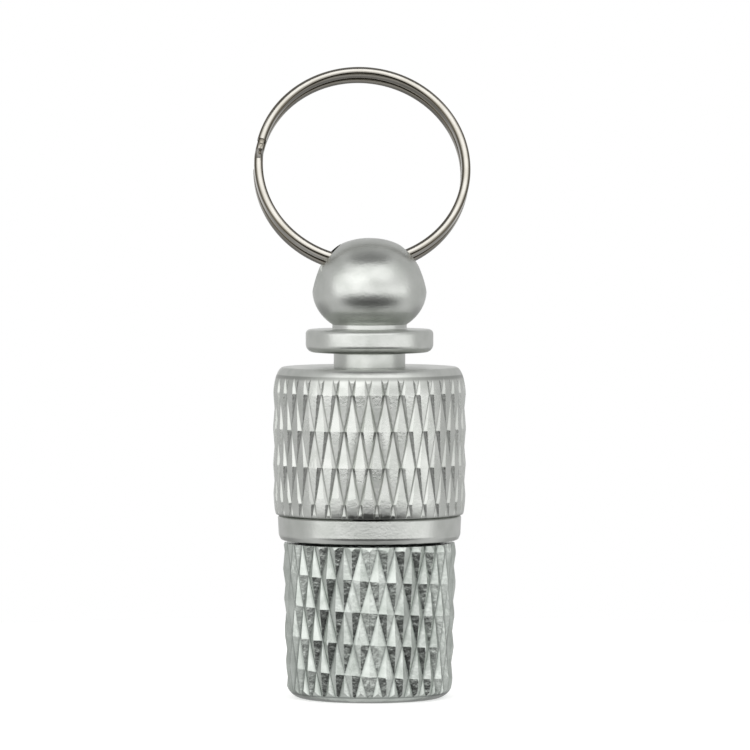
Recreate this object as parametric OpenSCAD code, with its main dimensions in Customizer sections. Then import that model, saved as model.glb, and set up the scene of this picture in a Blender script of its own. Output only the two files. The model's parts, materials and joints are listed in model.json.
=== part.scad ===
// Screw-top knurled capsule on a split ring. Millimetres, +Z up.
// The origin is the centre of the flat base, on the surface that the capsule stands on.

/* [Capsule] */
// Height of the closed capsule from its base to the cap's top face, without the knob
capsule_h = 22.45; // [20:0.05:30]

/* [Barrel] */
// Diameter over the knurl at the top of the barrel
barrel_top_d = 11.8; // [11:0.1:12.4]
// Diameter over the knurl at the foot of the barrel
barrel_foot_d = 11.3; // [10.8:0.1:12.4]
// Radius of the rounded bottom edge
foot_round = 1.15; // [0.6:0.05:1.6]
// Diameter of the bore that holds the paper
barrel_bore_d = 7.6; // [6.8:0.1:7.8]
// Thickness of the barrel's floor
floor_t = 1.5; // [1:0.1:3]

/* [Screw thread] */
// Length of the threaded neck above the shoulder
neck_l = 5.95; // [4:0.05:8]
// Diameter over the thread crests on the neck
thread_d = 9.8; // [9.2:0.05:10]
// Depth of the thread
thread_depth = 0.45; // [0.3:0.05:0.5]
// Rise of the thread in one turn
thread_pitch = 1.0; // [0.8:0.05:1.2]
// Gap between the two threads, all round
thread_gap = 0.12; // [0.08:0.01:0.16]
// Height of the plain relief under the thread
relief_h = 1.0; // [0.9:0.05:1.4]
// Height of the plain lead above the thread
lead_h = 0.5; // [0.3:0.05:0.8]

/* [Seal] */
// Thickness of the rubber ring's cord
seal_cord = 0.75; // [0.6:0.05:0.9]
// Gap that the rubber ring has to the neck, the shoulder and the cap
seal_gap = 0.03; // [0.01:0.01:0.08]

/* [Cap] */
// Gap between the barrel's shoulder and the cap's lip
lip_gap = 0.25; // [0.15:0.05:0.5]
// Diameter of the cap's lip
lip_d = 12.05; // [11.8:0.05:12.4]
// Diameter at the top of the smooth band
band_d = 12.6; // [12.2:0.05:12.9]
// Height of the smooth band
band_h = 1.68; // [1:0.05:3]
// Greatest diameter over the cap's knurl
cap_d = 13.08; // [12.8:0.02:13.6]
// Height of the cap's body from its lip to its top face
cap_h = 11.65; // [10:0.05:12.5]
// Width of the cap's upper bore over the barrel's bore
cap_bore_step = 0.2; // [0:0.1:0.4]
// Thickness of the cap's top
cap_top_t = 1.45; // [1:0.05:2.5]
// Width of the cap's rounded top edge
top_edge_w = 0.7; // [0.4:0.05:0.9]
// Height of the cap's rounded top edge
top_edge_h = 2.1; // [1:0.1:3]
// Taper of the cap's knurl at its foot, on the radius
foot_taper_w = 0.22; // [0.1:0.02:0.24]
// Height of the taper
foot_taper_h = 3; // [1:0.1:4]

/* [Knob] */
// Diameter of the lower neck, between cap and flange
lower_neck_d = 4.85; // [4:0.05:6]
// Height of the lower neck
lower_neck_h = 1.0; // [0.6:0.05:2]
// Diameter of the flange
flange_d = 8.65; // [7.6:0.05:9.6]
// Thickness of the flange
flange_t = 1.55; // [1.2:0.05:2.2]
// Radius of the flange's lower edge
flange_low_round = 0.55; // [0.3:0.05:0.55]
// Radius of the flange's upper edge
flange_top_round = 0.3; // [0.2:0.05:0.5]
// Diameter of the neck under the ball
upper_neck_d = 5.05; // [4.4:0.05:5.6]
// Height of the neck under the ball
upper_neck_h = 0.4; // [0.3:0.05:0.8]
// Diameter of the ball
ball_d = 7.75; // [7.2:0.05:8.4]
// Height of the ball above its widest level
ball_top_h = 3.47; // [3.2:0.01:3.9]
// Height of the ball below its widest level, before the neck cuts it
ball_low_h = 3.06; // [2.6:0.01:3.4]
// Diameter of the cross hole in the ball
eye_d = 2.6; // [2.55:0.05:2.7]
// Height of the cross hole above the ball's widest level
eye_rise = 1.75; // [1.5:0.05:1.8]
// Widening of the hole's radius at each mouth
eye_flare = 0.6; // [0.4:0.05:0.7]

/* [Knurl] */
// Depth of the knurl
knurl_depth = 0.27; // [0.15:0.01:0.35]
// Diamonds round the cap
cap_diamonds = 36; // [30:1:40]
// Rows of half diamonds up the cap
cap_knurl_row = 2.45; // [2:0.05:3]
// Half diamonds round the barrel, an odd number, so that the rows climb like a thread
barrel_half_diamonds = 61; // [51:2:71]
// Height of one row of half diamonds on the barrel
barrel_knurl_row = 2.14; // [1.8:0.02:2.6]

/* [Split ring] */
// Outer diameter of the split ring
ring_d = 14.8; // [14.4:0.1:15.2]
// Thickness of the wire across the ring
wire_w = 0.6; // [0.5:0.02:0.64]
// Thickness of the wire along the ring's axis
wire_t = 0.85; // [0.7:0.01:0.88]
// Gap between the two turns
turn_gap = 0.06; // [0.04:0.01:0.1]
// Radius of the wire's edges
wire_round = 0.26; // [0.2:0.01:0.29]
// Angle by which the ring leans back at rest
ring_lean = 24.5; // [0:0.5:80]
// Distance from the cross hole's centre to the ring's centre
ring_reach = 6.95; // [6.85:0.01:7]
// Sideways place of the ring's centre
ring_shift = -0.3; // [-0.35:0.05:0.35]

/* [Paper slip] */
// Gap between the roll and the barrel's bore
paper_gap = 0.2; // [0.1:0.05:0.4]
// Gap between the roll and the top of the cap's bore
paper_end_gap = 0.5; // [0.2:0.1:2]
// Thickness of the paper
paper_t = 0.12; // [0.08:0.01:0.16]
// Turns of the rolled paper
paper_turns = 2.2; // [1.2:0.1:2.4]

/* [Hidden] */
round_fn = 96;
skin_overlap = 1;
cut_overlap = 0.01;
crest_clear = 0.05;

// Barrel and neck
shoulder_z = capsule_h - cap_h - lip_gap;
thread_r = thread_d / 2;
thread_root_r = thread_r - thread_depth;
relief_r = thread_root_r - 0.08;
thread_low_z = shoulder_z + relief_h;
neck_top_z = shoulder_z + neck_l;
thread_top_z = neck_top_z - lead_h;
lead_chamfer = 0.25;
thread_segments = 20;

// Cap levels
lip_z = shoulder_z + lip_gap;
band_top_z = lip_z + band_h;
cap_top_z = capsule_h;
seal_r = relief_r + seal_gap + seal_cord / 2;
seal_z = shoulder_z + seal_gap + seal_cord / 2;
seat_r = seal_r + seal_cord / 2 + seal_gap + 0.1;
seat_top_z = seal_z + seal_cord / 2 + seal_gap;
neck_room = 0.3;
thread_room_z = neck_top_z + neck_room;
bore_top_z = cap_top_z - cap_top_t;
cap_bore_d = barrel_bore_d + cap_bore_step;

// Knob levels
flange_z = cap_top_z + lower_neck_h;
flange_top_z = flange_z + flange_t;
ball_low_z = flange_top_z + upper_neck_h;
neck_cut = sqrt(1 - pow(upper_neck_d / ball_d, 2));
ball_z = ball_low_z + ball_low_h * neck_cut;
ball_top_z = ball_z + ball_top_h;
ball_power = 2.2;
ball_steps = 14;
eye_z = ball_z + eye_rise;
eye_flare_x = 2.9;

// Ring
wire_r = (ring_d - wire_w) / 2;
turn_step = wire_t + turn_gap;
ring_segments = 60;
cut_angle = 164;
bend_low = 167;
bend_high = 177;
rear_end = 179;

// Paper
paper_w = bore_top_z - paper_end_gap - floor_t;
roll_r = barrel_bore_d / 2 - paper_gap;
paper_step = paper_t * 1.8;
paper_segments = 40;

// Closed skin round the Z axis: skin[column][row] are points, anticlockwise and upwards, and after
// a full turn a row meets the one that is seam rows higher. Each cell's fold joins its two points
// that lie nearest the axis.
module skin_column(skin, seam) {
    columns = len(skin);
    rows = len(skin[0]);
    function at(i, j) = i < columns ? i * rows + j : j + seam;
    function reach(i, j) = let (c = i % columns, r = i < columns ? j : j + seam)
        norm([skin[c][r].x, skin[c][r].y]);
    function last_row(i) = i < columns - 1 ? rows - 1 : rows - 1 - seam;
    low = columns * rows;
    high = low + 1;
    cells = [
        for (i = [0 : columns - 1]) for (j = [0 : last_row(i) - 1])
            let (rising = reach(i, j) + reach(i + 1, j + 1) < reach(i + 1, j) + reach(i, j + 1))
            each rising
                ? [[at(i, j), at(i + 1, j + 1), at(i + 1, j)], [at(i, j), at(i, j + 1), at(i + 1, j + 1)]]
                : [[at(i, j), at(i, j + 1), at(i + 1, j)],
                   [at(i + 1, j), at(i, j + 1), at(i + 1, j + 1)]]
    ];
    floor_fan = [
        for (i = [0 : columns - 1]) [low, at(i, 0), at(i + 1, 0)],
        for (j = [seam : -1 : 1]) [low, at(0, j), at(0, j - 1)]
    ];
    top_fan = [
        for (i = [0 : columns - 1]) [high, at(i + 1, last_row(i)), at(i, last_row(i))],
        for (j = [1 : seam]) [high, at(columns - 1, rows - 1 - j), at(columns - 1, rows - j)]
    ];
    polyhedron(
        points = [
            each [for (column = skin) each column],
            [0, 0, skin[0][0].z],
            [0, 0, skin[columns - 1][rows - 1].z]
        ],
        faces = concat(cells, floor_fan, top_fan)
    );
}

// Knurled column: crests and crossings take turns round it and up it. climb is 1 where the rows
// rise by one row in a turn, which needs an odd number of half diamonds, and 0 where they are level.
module knurl_column(half_diamonds, row_h, low_r, high_r, low_z, high_z, climb, start) {
    rows = ceil((high_z - low_z) / row_h) + 1 + 2 * climb;
    function level(i, j) = low_z + row_h * (j - climb - start + climb * i / half_diamonds);
    function crest(z) = low_r + (high_r - low_r) * (z - low_z) / (high_z - low_z);
    skin_column([
        for (i = [0 : half_diamonds - 1]) [
            for (j = [0 : rows])
                let (
                    turn = 360 * i / half_diamonds,
                    z = level(i, j),
                    r = crest(z) - ((i + j) % 2 == 0 ? 0 : knurl_depth)
                )
                [r * cos(turn), r * sin(turn), z]
        ]
    ], climb);
}

// Screw column with a right-hand thread between two levels. gap widens it into a nut's thread.
module screw_column(low_z, high_z, gap) {
    crest_half = 0.1 * thread_pitch + gap * 0.6;
    flank = 0.25 * thread_pitch;
    edges = [-crest_half - flank, -crest_half, crest_half, crest_half + flank];
    flat_loss = gap > 0 ? 1 / cos(180 / thread_segments) : 1;
    turns = ceil((high_z - low_z) / thread_pitch) + 2;
    function level(i, j) = shoulder_z + thread_pitch * (floor(j / 4) + i / thread_segments)
        + edges[j % 4] + thread_pitch * (floor((low_z - shoulder_z) / thread_pitch) - 1);
    function reach(j) = (j % 4 == 0 || j % 4 == 3 ? thread_root_r : thread_r) + gap;
    intersection() {
        skin_column([
            for (i = [0 : thread_segments - 1]) [
                for (j = [0 : 4 * turns + 3])
                    let (turn = 360 * i / thread_segments, r = reach(j) * flat_loss)
                    [r * cos(turn), r * sin(turn), level(i, j)]
            ]
        ], 4);
        translate([0, 0, low_z]) cylinder(h = high_z - low_z, r = thread_r + 1, $fn = round_fn);
    }
}

// Half outline of the barrel's outside, up to the shoulder, with the rounded bottom edge
module barrel_outline() {
    foot_r = barrel_foot_d / 2 + crest_clear;
    top_r = barrel_top_d / 2 + crest_clear;
    intersection() {
        polygon([[0, 0], [foot_r, 0], [top_r, shoulder_z], [0, shoulder_z]]);
        union() {
            translate([0, foot_round]) square([foot_r + 1, shoulder_z]);
            square([foot_r - foot_round, shoulder_z]);
            translate([foot_r - foot_round, foot_round]) circle(r = foot_round, $fn = round_fn);
        }
    }
}

module barrel() {
    color("#d9dbdc") difference() {
        union() {
            intersection() {
                mirror([0, 1, 0])
                    knurl_column(
                        barrel_half_diamonds, barrel_knurl_row, barrel_foot_d / 2, barrel_top_d / 2,
                        0, shoulder_z, 1, 0.4
                    );
                rotate_extrude($fn = round_fn) barrel_outline();
            }
            translate([0, 0, shoulder_z - skin_overlap])
                cylinder(h = relief_h + skin_overlap, r = relief_r, $fn = round_fn);
            screw_column(thread_low_z, thread_top_z, 0);
            translate([0, 0, thread_top_z]) rotate_extrude($fn = round_fn)
                polygon([
                    [0, 0], [relief_r, 0], [relief_r, lead_h - lead_chamfer],
                    [relief_r - lead_chamfer, lead_h], [0, lead_h]
                ]);
        }
        translate([0, 0, floor_t])
            cylinder(h = neck_top_z, d = barrel_bore_d, $fn = round_fn);
    }
}

module o_ring() {
    color("#1c1c1e") translate([0, 0, seal_z]) rotate_extrude($fn = round_fn)
        translate([seal_r, 0]) circle(d = seal_cord, $fn = 32);
}

// Half outline of the ball: a flattened round above its widest level and an ellipse below it
function ball_outline() = [
    for (k = [0 : ball_steps]) let (a = 90 - 90 * k / ball_steps)
        [ball_d / 2 * pow(cos(a), 2 / ball_power), ball_z + ball_top_h * pow(sin(a), 2 / ball_power)],
    for (k = [1 : ball_steps]) let (a = acos(upper_neck_d / ball_d) * k / ball_steps)
        [ball_d / 2 * cos(a), ball_z - ball_low_h * sin(a)]
];

// Half outline of the cap's body above the band, which the knurl is cut down to: a taper at its
// foot and a rounded edge at its top, each a quarter of an ellipse
module cap_outline() {
    r = cap_d / 2 + crest_clear;
    polygon([
        [0, band_top_z],
        for (a = [-90 : 30 : 0])
            [r - foot_taper_w * (1 - cos(a)), band_top_z + foot_taper_h * (1 + sin(a))],
        for (a = [0 : 22.5 : 90])
            [r - top_edge_w * (1 - cos(a)), cap_top_z - top_edge_h * (1 - sin(a))],
        [0, cap_top_z]
    ]);
}

// Half outline of the flange and its rounded edges
module flange_outline() {
    r = flange_d / 2;
    intersection() {
        square([r, flange_t]);
        union() {
            translate([0, flange_low_round])
                square([r, flange_t - flange_low_round - flange_top_round]);
            square([r - flange_low_round, flange_t - flange_top_round]);
            translate([r - flange_low_round, flange_low_round])
                circle(r = flange_low_round, $fn = round_fn);
            square([r - flange_top_round, flange_t]);
            translate([r - flange_top_round, flange_t - flange_top_round])
                circle(r = flange_top_round, $fn = round_fn);
        }
    }
}

// Everything that is turned on the cap above and below its knurl
module cap_turned() {
    rotate_extrude($fn = round_fn)
        polygon([
            [0, lip_z], [lip_d / 2, lip_z], [band_d / 2, band_top_z], [0, band_top_z]
        ]);
    translate([0, 0, cap_top_z - skin_overlap])
        cylinder(h = lower_neck_h + skin_overlap, d = lower_neck_d, $fn = round_fn);
    translate([0, 0, flange_z]) rotate_extrude($fn = round_fn) flange_outline();
    translate([0, 0, flange_top_z])
        cylinder(h = upper_neck_h, d = upper_neck_d, $fn = round_fn);
    rotate_extrude($fn = round_fn)
        polygon([[0, ball_low_z], [0, ball_top_z], each ball_outline()]);
}

// Space inside the cap: seat for the rubber ring, thread, room over the neck and upper bore
module cap_inside() {
    translate([0, 0, lip_z - cut_overlap])
        cylinder(h = seat_top_z - lip_z + cut_overlap, r = seat_r, $fn = round_fn);
    screw_column(seat_top_z - cut_overlap, thread_room_z, thread_gap);
    translate([0, 0, thread_room_z - cut_overlap])
        cylinder(h = bore_top_z - thread_room_z + cut_overlap, d = cap_bore_d, $fn = round_fn);
}

// Cross hole along X, with a flare at both mouths
module eye() {
    translate([0, 0, eye_z]) rotate([0, 90, 0]) {
        cylinder(h = ball_d + 2, d = eye_d, center = true, $fn = round_fn);
        for (side = [0, 1]) mirror([0, 0, side])
            translate([0, 0, eye_flare_x]) cylinder(
                h = 2 * eye_flare, r1 = eye_d / 2, r2 = eye_d / 2 + 2 * eye_flare, $fn = round_fn
            );
    }
}

module cap() {
    color("#c9cccd") difference() {
        union() {
            intersection() {
                knurl_column(
                    2 * cap_diamonds, cap_knurl_row, cap_d / 2, cap_d / 2,
                    band_top_z - skin_overlap, cap_top_z + skin_overlap, 0, 0.2
                );
                rotate_extrude($fn = round_fn) cap_outline();
            }
            cap_turned();
        }
        cap_inside();
        eye();
    }
}

// Edges of the wire's section, across the ring and along its axis, as a rounded rectangle
function wire_section() = [
    for (corner = [0 : 3]) for (k = [0 : 2])
        let (
            a = 90 * corner + 45 * k,
            x = (wire_w / 2 - wire_round) * (corner == 0 || corner == 3 ? 1 : -1),
            y = (wire_t / 2 - wire_round) * (corner < 2 ? 1 : -1)
        )
        [x + wire_round * cos(a), y + wire_round * sin(a)]
];

// Place of the wire along the ring's axis: rear turn, bend across, front turn
function turn_level(a) =
    let (s = min(1, max(0, (a + 360 - bend_low) / (bend_high - bend_low))))
    turn_step * ((3 - 2 * s) * s * s - 0.5);

module split_ring_wire() {
    section = wire_section();
    around = len(section);
    first = rear_end - 720;
    last = cut_angle;
    steps = round((last - first) / 360 * ring_segments);
    points = [
        for (k = [0 : steps])
            let (a = first + (last - first) * k / steps)
            for (p = section)
                [(wire_r + p.x) * cos(a), (wire_r + p.x) * sin(a), turn_level(a) + p.y]
    ];
    faces = concat(
        [[for (s = [0 : around - 1]) s]],
        [
            for (k = [0 : steps - 1]) for (s = [0 : around - 1])
                let (a = k * around + s, b = k * around + (s + 1) % around)
                each [[a, a + around, b], [b, a + around, b + around]]
        ],
        [[for (s = [around - 1 : -1 : 0]) steps * around + s]]
    );
    polyhedron(points = points, faces = faces);
}

module split_ring() {
    color("#a9a59c") translate([0, 0, eye_z]) rotate([90 - ring_lean, 0, 0])
        translate([ring_shift, ring_reach, 0]) split_ring_wire();
}

module paper_slip() {
    steps = round(paper_segments * paper_turns);
    function outer_r(k) = roll_r - paper_step * (paper_turns - k / paper_segments);
    function roll_point(k, r) = [r * cos(360 * k / paper_segments), r * sin(360 * k / paper_segments)];
    color("#f2f0ea") translate([0, 0, floor_t]) linear_extrude(height = paper_w)
        polygon([
            for (k = [0 : steps]) roll_point(k, outer_r(k)),
            for (k = [steps : -1 : 0]) roll_point(k, outer_r(k) - paper_t)
        ]);
}

barrel();
o_ring();
paper_slip();
cap();
split_ring();
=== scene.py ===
"""Knurled screw-top capsule on a split ring: its looks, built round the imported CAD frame.

Barrel and cap are turned from aluminium bar and knurled. The barrel keeps its bright burnished
facets, and the cap is tumbled and anodised to a satin. The ring is two turns of nickel-plated steel
wire. Sizes are in metres, written as millimetres times MM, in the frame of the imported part: +Z up,
base at zero.
"""

import json
import logging
import math
from dataclasses import dataclass, field
from enum import Enum
from typing import ClassVar

import bmesh
import bpy
import numpy as np
from mathutils import Matrix, Vector
from mathutils.bvhtree import BVHTree

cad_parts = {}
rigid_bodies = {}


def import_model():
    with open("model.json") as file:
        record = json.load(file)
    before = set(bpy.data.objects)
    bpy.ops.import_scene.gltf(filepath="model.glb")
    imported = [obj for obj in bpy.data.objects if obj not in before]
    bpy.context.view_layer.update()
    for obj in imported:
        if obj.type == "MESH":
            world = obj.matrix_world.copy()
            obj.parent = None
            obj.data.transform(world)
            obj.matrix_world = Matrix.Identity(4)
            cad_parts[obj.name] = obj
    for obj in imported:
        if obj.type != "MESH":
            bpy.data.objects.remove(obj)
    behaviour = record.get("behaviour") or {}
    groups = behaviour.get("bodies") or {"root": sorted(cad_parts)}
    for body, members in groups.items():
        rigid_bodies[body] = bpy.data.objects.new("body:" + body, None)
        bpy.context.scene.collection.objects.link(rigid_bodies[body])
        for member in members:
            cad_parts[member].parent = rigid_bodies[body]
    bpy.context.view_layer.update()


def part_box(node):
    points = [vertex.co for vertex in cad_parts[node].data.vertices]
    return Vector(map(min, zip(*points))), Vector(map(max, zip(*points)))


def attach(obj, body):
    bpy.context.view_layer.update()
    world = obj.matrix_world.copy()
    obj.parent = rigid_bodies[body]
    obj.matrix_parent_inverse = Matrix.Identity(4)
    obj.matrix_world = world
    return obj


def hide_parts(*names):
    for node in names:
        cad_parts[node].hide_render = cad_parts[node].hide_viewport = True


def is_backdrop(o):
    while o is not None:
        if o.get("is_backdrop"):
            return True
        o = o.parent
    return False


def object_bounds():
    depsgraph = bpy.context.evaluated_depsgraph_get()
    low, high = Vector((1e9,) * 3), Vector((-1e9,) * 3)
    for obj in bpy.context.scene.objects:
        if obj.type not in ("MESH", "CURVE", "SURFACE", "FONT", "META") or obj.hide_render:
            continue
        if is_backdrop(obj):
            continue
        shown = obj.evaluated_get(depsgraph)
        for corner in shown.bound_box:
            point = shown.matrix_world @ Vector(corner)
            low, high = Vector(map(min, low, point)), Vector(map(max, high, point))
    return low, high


MM = 0.001
PHOTO_SIZE = 750
# A micron: vertices nearer to each other than about this are one vertex.
MICRON_WELD = 0.001 * MM
# Degrees between neighbouring faces of a rounded cut. Sharper corners than one step are real edges.
SMOOTH_STEP = 4.5
# Part of its length by which a tapered strip stops short of a point.
TIP_SHARE = 0.002
# Degrees between two faces past which an edge of a swept piece is sharp.
SHARP = 30
# Patches of polish and rings of the lathe tool on a millimetre of metal. The rings are drawn wider
# than the tool's real feed, which wouldn't show.
PATCHES_PER_MM = 0.9
RINGS_PER_MM = 9.0
LOG = logging.getLogger("capsule")


class Side(Enum):
    """Side of a piece's outline, or a place on it, that an image point marks."""

    LEFT = "left"
    RIGHT = "right"
    TOP = "top"
    BOTTOM = "bottom"
    PLACE = "place"


@dataclass(frozen=True)
class ImagePoint:
    """A place in the photograph's 750 by 750 frame, in pixels from its top left corner."""

    x: float
    y: float
    side: Side = Side.PLACE
    piece: str = ""


POINTS = {
    "object_left": ImagePoint(252.0, 172.0, Side.LEFT, "wire_ring"),
    "object_right": ImagePoint(473.0, 172.0, Side.RIGHT, "wire_ring"),
    "object_top": ImagePoint(361.0, 65.0, Side.TOP, "wire_ring"),
    "object_bottom": ImagePoint(369.5, 701.5, Side.BOTTOM, "knurled_barrel"),
    "ball_top": ImagePoint(369.5, 238.0, Side.TOP, "knurled_cap"),
    "ball_left": ImagePoint(313.0, 288.0, Side.LEFT, "knurled_cap"),
    "ball_right": ImagePoint(427.0, 288.0, Side.RIGHT, "knurled_cap"),
    "flange_left": ImagePoint(306.0, 341.0, Side.LEFT, "knurled_cap"),
    "flange_right": ImagePoint(433.0, 341.0, Side.RIGHT, "knurled_cap"),
    "cap_left": ImagePoint(273.0, 427.5, Side.LEFT, "knurled_cap"),
    "cap_right": ImagePoint(466.0, 427.5, Side.RIGHT, "knurled_cap"),
    "barrel_left": ImagePoint(284.0, 610.0, Side.LEFT, "knurled_barrel"),
    "barrel_right": ImagePoint(455.0, 610.0, Side.RIGHT, "knurled_barrel"),
    "wire_end": ImagePoint(260.0, 141.6, Side.PLACE, "wire_ring"),
    # Middle of the painted shade and dark reflection on the band under the knurl.
    "band_shade": ImagePoint(372.0, 518.0, Side.PLACE, "knurled_cap"),
}


# ---------------------------------------------------------------- node trees


def add_node(
    tree: bpy.types.NodeTree, kind: str, inputs: dict | None = None, **settings: object
) -> bpy.types.Node:
    """Adds one node to a tree, with its settings, its input values and its links.

    Args:
        tree: The node tree that gets the node.
        kind: The node's Blender type.
        inputs: Values, nodes, sockets or terms for its inputs, by name or by number.
        **settings: The node's own properties, which are set before its inputs.

    Returns:
        The new node.
    """
    node = tree.nodes.new(kind)
    for name, value in settings.items():
        setattr(node, name, value)
    for key, value in (inputs or {}).items():
        if isinstance(key, int):
            socket = node.inputs[key]
        else:
            socket = next(s for s in node.inputs if s.name == key and s.enabled)
        if isinstance(value, Term):
            value = value.socket
        if isinstance(value, bpy.types.Node):
            value = next(s for s in value.outputs if s.enabled)
        if isinstance(value, bpy.types.NodeSocket):
            tree.links.new(value, socket)
        else:
            socket.default_value = value
    return node


class Term:
    """A number inside a node tree, which takes part in sums as a plain number does."""

    def __init__(self, socket: bpy.types.NodeSocket) -> None:
        """Wraps an output socket."""
        self.socket = socket

    def apply(self, operation: str, *others: "Term | float") -> "Term":
        """Joins this number and others in one Math node.

        Args:
            operation: The Math node's operation.
            *others: The operation's other numbers.

        Returns:
            The result.
        """
        inputs = dict(enumerate((self, *others)))
        tree = self.socket.node.id_data
        return Term(add_node(tree, "ShaderNodeMath", inputs, operation=operation).outputs[0])

    def __rsub__(self, other: float) -> "Term":
        """A plain number less this one."""
        return self * -1.0 + other

    def __add__(self, other: "Term | float") -> "Term":
        """Sum."""
        return self.apply("ADD", other)

    def __sub__(self, other: "Term | float") -> "Term":
        """Difference."""
        return self.apply("SUBTRACT", other)

    def __mul__(self, other: "Term | float") -> "Term":
        """Product."""
        return self.apply("MULTIPLY", other)

    def __truediv__(self, other: "Term | float") -> "Term":
        """Quotient."""
        return self.apply("DIVIDE", other)

    __radd__ = __add__
    __rmul__ = __mul__

    def ramp(self, start: "Term | float", end: "Term | float") -> "Term":
        """Smooth step of this number from 0 at start to 1 at end.

        Args:
            start: Value at which the step is 0.
            end: Value at which it is 1.

        Returns:
            The step.
        """
        inputs = {"Value": self, "From Min": start, "From Max": end}
        tree = self.socket.node.id_data
        kind = "ShaderNodeMapRange"
        return Term(add_node(tree, kind, inputs, interpolation_type="SMOOTHSTEP").outputs[0])


class GeometryTree:
    """A Geometry Nodes tree with named inputs, written once and used on one or more pieces."""

    def __init__(self, name: str) -> None:
        """Makes the empty tree."""
        self.tree = bpy.data.node_groups.new(name, "GeometryNodeTree")
        self.given = self.tree.nodes.new("NodeGroupInput")
        self.identifiers: dict[str, str] = {}

    def take(self, name: str, kind: str = "Float") -> Term:
        """Adds a named input.

        Args:
            name: The input's name.
            kind: Its socket type: Float, Int, Object or Material.

        Returns:
            The input's value inside the tree.
        """
        item = self.tree.interface.new_socket(name=name, in_out="INPUT", socket_type="NodeSocket" + kind)
        self.identifiers[name] = item.identifier
        return Term(next(s for s in self.given.outputs if s.identifier == item.identifier))

    def node(self, kind: str, inputs: dict | None = None, **settings: object) -> bpy.types.Node:
        """Adds a node to this tree, as add_node does."""
        return add_node(self.tree, kind, inputs, **settings)

    def end(self, geometry: bpy.types.Node | bpy.types.NodeSocket, material: Term) -> None:
        """Ends the tree in real geometry with its material.

        Args:
            geometry: What the tree has made.
            material: The material's input.
        """
        real = self.node("GeometryNodeRealizeInstances", {"Geometry": geometry})
        dressed = self.node("GeometryNodeSetMaterial", {"Geometry": real, "Material": material})
        self.tree.interface.new_socket(
            name="Geometry", in_out="OUTPUT", socket_type="NodeSocketGeometry"
        )
        self.tree.links.new(dressed.outputs[0], self.tree.nodes.new("NodeGroupOutput").inputs[0])

    def grow(self, name: str, values: dict[str, object]) -> bpy.types.Object:
        """Runs the tree and keeps its result as a plain mesh.

        Args:
            name: Name of the new object.
            values: A value for each of the tree's inputs.

        Returns:
            The object, with no modifier on it.
        """
        seed = new_object(name + "_seed", bpy.data.meshes.new(name + "_seed"))
        modifier = seed.modifiers.new("Nodes", "NODES")
        modifier.node_group = self.tree
        for title, value in values.items():
            modifier[self.identifiers[title]] = value
        return settled(seed, name)


# ---------------------------------------------------------------- meshes


def new_object(name: str, mesh: bpy.types.Mesh) -> bpy.types.Object:
    """Links a new object that holds a mesh.

    Args:
        name: Name of the object.
        mesh: The mesh.

    Returns:
        The object.
    """
    made = bpy.data.objects.new(name, mesh)
    bpy.context.scene.collection.objects.link(made)
    return made


def settled(source: bpy.types.Object, name: str) -> bpy.types.Object:
    """Turns an object and its modifiers into a plain mesh object, and removes the object.

    Args:
        source: The object with its modifiers.
        name: Name of the new object.

    Returns:
        The plain object, at the origin.
    """
    bpy.context.view_layer.update()
    depsgraph = bpy.context.evaluated_depsgraph_get()
    mesh = bpy.data.meshes.new_from_object(source.evaluated_get(depsgraph), depsgraph=depsgraph)
    bpy.data.objects.remove(source)
    mesh.name = name
    return new_object(name, mesh)


def face_outwards(target: bpy.types.Object) -> None:
    """Merges doubled vertices and turns every face outwards.

    Args:
        target: The object.
    """
    work = bmesh.new()
    work.from_mesh(target.data)
    bmesh.ops.remove_doubles(work, verts=work.verts, dist=0.1 * MICRON_WELD)
    bmesh.ops.recalc_face_normals(work, faces=work.faces)
    work.to_mesh(target.data)
    work.free()


def crease(target: bpy.types.Object, limit: float) -> None:
    """Shades faces smoothly across edges under a limit and sharply across the others.

    Args:
        target: The object.
        limit: Angle between two faces, in degrees.
    """
    work = bmesh.new()
    work.from_mesh(target.data)
    for face in work.faces:
        face.smooth = True
    for edge in work.edges:
        edge.smooth = edge.calc_face_angle(math.pi) < math.radians(limit)
    work.to_mesh(target.data)
    work.free()


class Solid(Enum):
    """How one solid is joined to another."""

    UNITE = "UNION"
    CUT = "DIFFERENCE"
    COMMON = "INTERSECT"


def combine(base: bpy.types.Object, how: Solid, *others: bpy.types.Object) -> bpy.types.Object:
    """Joins closed solids one after the other, and removes them.

    Args:
        base: The first solid.
        how: How the others join it.
        *others: The other solids.

    Returns:
        The new solid, with the first one's name.
    """
    title = base.name
    for other in others:
        modifier = base.modifiers.new("Solid", "BOOLEAN")
        modifier.operation = how.value
        modifier.solver = "EXACT"
        modifier.object = other
        base = settled(base, title)
        bpy.data.objects.remove(other)
    return base


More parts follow.
